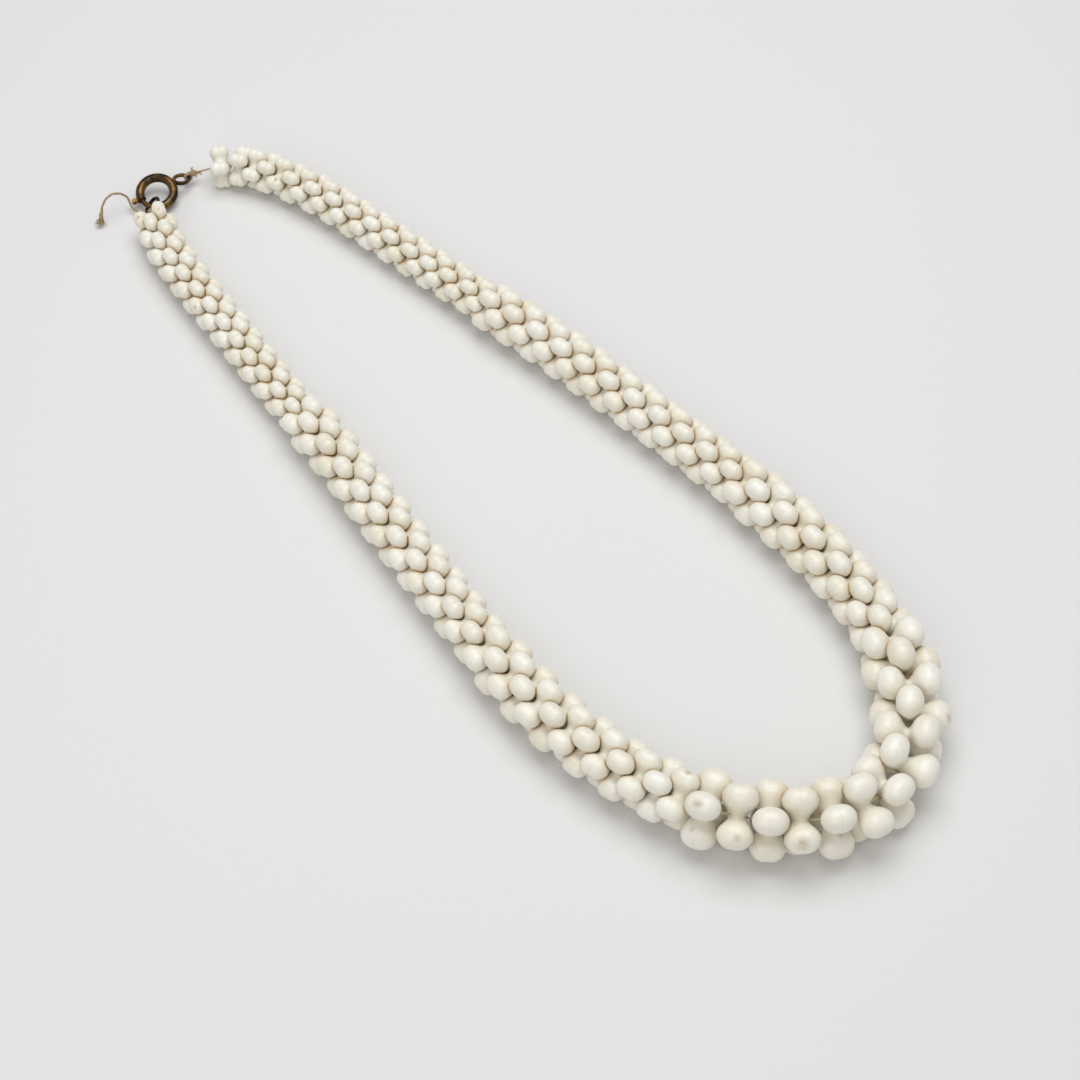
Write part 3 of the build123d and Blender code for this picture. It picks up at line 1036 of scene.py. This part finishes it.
@dataclass
class Thread:
    """The thread's own pieces: twisted strand, windings, wisps and the frayed tuft."""

    material: Material
    radius: float = 0.25
    plies: int = 3
    twist_mm: float = 1.6
    # Depth of the grooves between plies, by the radius
    groove: float = 0.28
    # Turns of each layer of a knot, and how the two layers lean
    knot_turns: float = 3.5
    knot_leans: Pair = (0.35, -0.3)
    # Thread is pressed a little thinner in a knot and in a loop, and drawn with fewer sides
    knot_press: float = 0.8
    loop_press: float = 0.85
    loop_pitch: float = 1.5
    wound_sides: int = 8
    # Radius of a loose fibre at its root and at its tip
    fibre_radii: Pair = (0.07, 0.045)
    fibre_sides: int = 4
    points: list[Array] = field(default_factory=list)
    faces: list[Array] = field(default_factory=list)
    count: int = 0

    def tube(self, line: Array, radii: Array, plies: int, sides: int) -> None:
        """Add a tube of twisted plies along a line.

        Args:
            line: Even points of its centre.
            radii: Radius at each point.
            plies: Number of plies, or 0 for a plain fibre.
            sides: Vertices round it.
        """
        ahead = np.gradient(line, axis=0)
        ahead /= np.linalg.norm(ahead, axis=1, keepdims=True) + TINY
        side, _ = square_to(ahead[0], [0.1, 0.2, 1.0])
        rings = []
        gone = 0.0
        for number, (centre, direction, radius) in enumerate(zip(line, ahead, radii)):
            if number:
                gone += float(np.linalg.norm(centre - line[number - 1]))
            side = side - direction * (side @ direction)
            side /= np.linalg.norm(side)
            up = np.cross(direction, side)
            angles = np.linspace(0, tau, sides, endpoint=False)
            lobes = np.ones(sides)
            if plies:
                phase = plies * angles - tau * gone / self.twist_mm
                lobes = 1 - self.groove * (0.5 - 0.5 * np.cos(phase))
            ring = np.outer(np.cos(angles) * lobes, side) + np.outer(np.sin(angles) * lobes, up)
            rings.append(centre + radius * ring)
        base = self.count + np.arange(len(line))[:, None] * sides
        here = base[:-1] + np.arange(sides)[None, :]
        turned = base[:-1] + (np.arange(sides)[None, :] + 1) % sides
        quads = np.stack([here, turned, turned + sides, here + sides], -1).reshape(-1, 4)
        self.points.append(np.concatenate(rings))
        self.faces.append(quads)
        self.count += sides * len(line)
        for end, first in ((0, True), (len(line) - 1, False)):
            cap = self.count - sides * (len(line) - end) + np.arange(sides)
            inner = range(sides // 2 - 1)
            quad = [(i, i + 1, sides - 2 - i, sides - 1 - i) for i in inner]
            lid = cap[np.array(quad)]
            self.faces.append(lid[:, ::-1] if first else lid)

    def winding(self, centre: Array, axis: Array, length: float, width: float) -> None:
        """Add a ball of thread wound round an axis.

        Args:
            centre: Middle of the ball.
            axis: Its axis.
            length: Its length along the axis.
            width: Its width in the middle.
        """
        axis = axis / np.linalg.norm(axis)
        side, up = square_to(axis, [0.3, 0.1, 1.0])
        radius = self.knot_press * self.radius
        for layer, lean in enumerate(self.knot_leans):
            places = np.linspace(0, 1, 90)
            angle = tau * self.knot_turns * places + layer * pi
            swell = np.sqrt(np.clip(1 - (1.7 * (places - 0.5)) ** 2, 0.1, 1))
            out = (width / 2 - radius) * swell
            drift = length * (places - 0.5) + lean * out * np.sin(angle)
            line = (
                centre
                + np.outer(drift, axis)
                + np.outer(out * np.cos(angle), side)
                + np.outer(out * np.sin(angle), up)
            )
            self.tube(line, np.full(len(line), radius), self.plies, self.wound_sides)

    def loop(self, centre: Array, normal: Array, radius: float, turns: int) -> None:
        """Add turns of thread round a wire.

        Args:
            centre: Centre of the wire.
            normal: Direction of the wire.
            radius: Radius of the turns.
            turns: How many there are side by side.
        """
        normal = normal / np.linalg.norm(normal)
        side, up = square_to(normal, [0.2, 0.1, 1.0])
        angle = np.linspace(0, tau * turns, 36 * turns)
        drift = (angle / (tau * turns) - 0.5) * self.loop_pitch * self.radius * turns
        line = (
            centre
            + np.outer(drift, normal)
            + np.outer(radius * np.cos(angle), side)
            + np.outer(radius * np.sin(angle), up)
        )
        radii = np.full(len(line), self.loop_press * self.radius)
        self.tube(line, radii, self.plies, self.wound_sides)

    def wisps(
        self, root: Array, aim: Array, length: float, fan: float, number: int, seed: int,
        floor: float = 0.05,
    ) -> None:
        """Add loose fibres that fan out from a root.

        Args:
            root: Where they start.
            aim: Their mean direction.
            length: Their mean length.
            fan: How far they fan out, as a share of the length.
            number: How many there are.
            seed: Seed of their spread.
            floor: Lowest height that they reach.
        """
        rng = np.random.default_rng(seed)
        aim = aim / np.linalg.norm(aim)
        for _ in range(number):
            spread = rng.normal(0, 1, 3)
            spread -= aim * (spread @ aim)
            spread *= fan / 1.5
            reach = length * rng.uniform(0.75, 1.05)
            start = root + rng.normal(0, 0.05, 3)
            middle = start + aim * reach * 0.5 + spread * reach * 0.35
            end = start + aim * reach + spread * reach
            bend = rng.normal(0, 0.06, 3)
            line = smooth_route([start, middle + bend, end], 0.2)
            line[:, 2] = np.maximum(line[:, 2], floor)
            radii = np.linspace(*self.fibre_radii, len(line))
            self.tube(line, radii, 0, self.fibre_sides)

    def piece(self, name: str, *nodes: str) -> None:
        """Make one object of what has been added, and start afresh.

        Args:
            name: Name of the piece.
            nodes: Nodes that it stands for.
        """
        made = mesh_object(
            name, np.concatenate(self.points), np.concatenate(self.faces), self.material
        )
        self.points, self.faces, self.count = [], [], 0
        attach(made, Body.STRING.value)
        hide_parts(*nodes)
        LOG.info("%s made", name)


@dataclass
class ThreadWork:
    """Where the thread runs: through the beads, round both rings, and its loose tail."""

    material: Material
    beads: list[PlacedBead]
    # Ends of the strand, as in the construction source
    strand_start: Triple = (-63.65, 61.99, 2.2)
    strand_end: Triple = (-56.0, 73.09, 2.58)
    # Wire of each ring where the thread goes round it, the wire's direction, and the knot
    end_wire: Triple = (-63.67, 63.59, 1.54)
    end_wire_along: Triple = (0.707, 0.0, 0.707)
    end_knot: Triple = (-63.89, 62.48, 1.77)
    eyelet_wire: Triple = (-57.54, 72.35, 2.08)
    eyelet_wire_along: Triple = (-0.574, 0.801, -0.17)
    eyelet_knot: Triple = (-56.67, 73.04, 2.37)
    # The strand lies this far above the hubs' middles, and is thinner in its second half
    hub_lift: float = 0.12
    strand_radii: Pair = (0.22, 0.17)
    strand_step: float = 0.35
    strand_sides: int = 9
    # The tail's turning points, as in the construction source
    tail: tuple[Triple, ...] = (
        (-64.43, 62.86, 1.52),
        (-65.71, 63.75, 0.95),
        (-67.41, 64.95, 1.4),
        (-68.41, 66.15, 3.0),
        (-69.91, 65.25, 4.8),
        (-71.41, 64.05, 5.1),
        (-72.41, 62.75, 4.1),
        (-72.91, 61.85, 1.85),
    )

    def build(self) -> None:
        """Make the strand, both knots and the tail."""
        thread = Thread(self.material)
        hubs = [bead.centre + np.array([0, 0, self.hub_lift]) for bead in self.beads]
        line = smooth_route([self.strand_start, *hubs, self.strand_end], self.strand_step)
        radii = np.full(len(line), self.strand_radii[1])
        radii[: len(radii) // 2] = self.strand_radii[0]
        thread.tube(line, radii, thread.plies, self.strand_sides)
        thread.piece("twisted_strand", "stringing_thread")

        knot = np.array(self.end_knot)
        aim = np.array(self.strand_start) - knot
        wire, along = np.array(self.end_wire), np.array(self.end_wire_along)
        thread.loop(wire, along, radius=0.62, turns=2)
        thread.winding(knot, aim, length=0.9, width=1.25)
        thread.piece("wound_knot_at_end_ring", "end_ring_knot")

        knot = np.array(self.eyelet_knot)
        aim = np.array(self.strand_end) - knot
        wire, along = np.array(self.eyelet_wire), np.array(self.eyelet_wire_along)
        thread.loop(wire, along, radius=0.64, turns=2)
        thread.winding(knot, aim, length=1.3, width=1.3)
        whiskers = (
            (knot, np.array([-0.25, 0.9, 0.5]), 1.3, 0.3, 5),
            (knot, np.array([0.6, -0.5, -0.3]), 1.2, 0.4, 6),
            (knot + 0.5 * aim, aim + np.array([0.1, -0.2, 0.0]), 1.6, 0.25, 8),
        )
        for seed, (root, way, length, fan, number) in enumerate(whiskers, start=3):
            thread.wisps(root, way, length, fan, number, seed)
        thread.piece("wound_knot_at_eyelet", "eyelet_knot")

        # The tail keeps its width, then swells into the tuft over its last eighth
        line = smooth_route(self.tail, step=0.15)
        radii = np.interp(np.linspace(0, 1, len(line)), [0, 0.87, 1], [0.25, 0.23, 0.5])
        thread.tube(line, radii, thread.plies, sides=12)
        ahead = line[-1] - line[-6]
        thread.wisps(line[-4], ahead, length=1.8, fan=0.36, number=120, seed=6)
        thread.piece("frayed_tail", "thread_tail")


@dataclass(frozen=True)
class Softbox:
    """A square lamp that faces the origin, in the middle of the necklace."""

    name: str
    place: Triple
    size: float
    power: float
    colour: Triple

    def build(self) -> None:
        """Make the lamp."""
        lamp = bpy.data.lights.new(self.name, "AREA")
        lamp.size = self.size * MM
        lamp.energy = self.power
        lamp.color = self.colour
        lamp_object = bpy.data.objects.new(self.name, lamp)
        lamp_object.location = Vector(self.place) * MM
        lamp_object.rotation_euler = (-Vector(self.place)).to_track_quat("-Z", "Y").to_euler()
        bpy.context.scene.collection.objects.link(lamp_object)


@dataclass
class Studio:
    """Floor, soft light and camera of the photograph's viewing angle."""

    floor_size: float = 3000.0
    camera_place: Triple = (9.09, -265.85, 336.6)
    camera_aim: Triple = (9.09, -12.15, 0.0)
    lens: float = 82.89
    sensor_width: float = 36.0
    near_clip: float = 10.0
    softboxes: tuple[Softbox, ...] = (
        Softbox("key_softbox", (30, 120, 560), 460, 2.0, (0.985, 1.0, 1.015)),
        Softbox("front_fill", (-160, -420, 420), 420, 0.75, (1.0, 0.995, 0.99)),
    )
    # Even light from all round, a little warm
    surroundings: Colour = (1.0, 0.965, 0.93, 1.0)
    surroundings_strength: float = 0.38

    def build(self) -> None:
        """Make the floor, the lights, the surroundings and the camera."""
        self.floor()
        self.lights()
        self.camera()

    def floor(self) -> None:
        """Make the pale paper floor."""
        half = self.floor_size / 2
        turns = ((-1, -1, 0), (1, -1, 0), (1, 1, 0), (-1, 1, 0))
        corners, face = half * np.array(turns, float), np.array([[0, 1, 2, 3]])
        floor = mesh_object("paper_floor", corners, face, PaperFloor().build())

    def lights(self) -> None:
        """Make a large soft lamp above and behind, a weaker one in front, and even fill."""
        for softbox in self.softboxes:
            softbox.build()
        world = bpy.data.worlds.new("soft_surroundings")
        world.use_nodes = True
        background = world.node_tree.nodes["Background"]
        background.inputs["Color"].default_value = self.surroundings
        background.inputs["Strength"].default_value = self.surroundings_strength
        bpy.context.scene.world = world
        bpy.context.scene.view_settings.view_transform = "Standard"

    def camera(self) -> None:
        """Make the camera at the photograph's place."""
        data = bpy.data.cameras.new("photo_camera")
        data.lens = self.lens
        data.sensor_width = self.sensor_width
        data.sensor_fit = "HORIZONTAL"
        data.clip_start = self.near_clip * MM
        camera = bpy.data.objects.new("photo_camera", data)
        camera.location = Vector(self.camera_place) * MM
        look = Vector(self.camera_aim) - Vector(self.camera_place)
        camera.rotation_euler = look.to_track_quat("-Z", "Y").to_euler()
        bpy.context.scene.collection.objects.link(camera)
        bpy.context.scene.camera = camera


def dress(node: str, material: Material) -> None:
    """Give a node of the construction model its finish.

    Args:
        node: Name of the node.
        material: Its material.
    """
    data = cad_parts[node].data
    data.materials.clear()
    data.materials.append(material)


def main() -> None:
    """Build the scene in order."""
    logging.basicConfig(level=logging.INFO, format="%(name)s: %(message)s")
    Studio().build()
    LOG.info("studio made")
    plastic = MouldedPolystyrene().build()
    brass = TarnishedBrass().build()
    cotton = WaxedCotton().build()
    string = BeadString(plastic)
    string.build()
    for node in ("clasp_ring", "clasp_bolt", "end_ring"):
        dress(node, brass)
    for node in ("stringing_thread", "end_ring_knot", "eyelet_knot", "thread_tail"):
        dress(node, cotton)
    ThreadWork(cotton, string.beads).build()


if __name__ == "__main__":
    main()
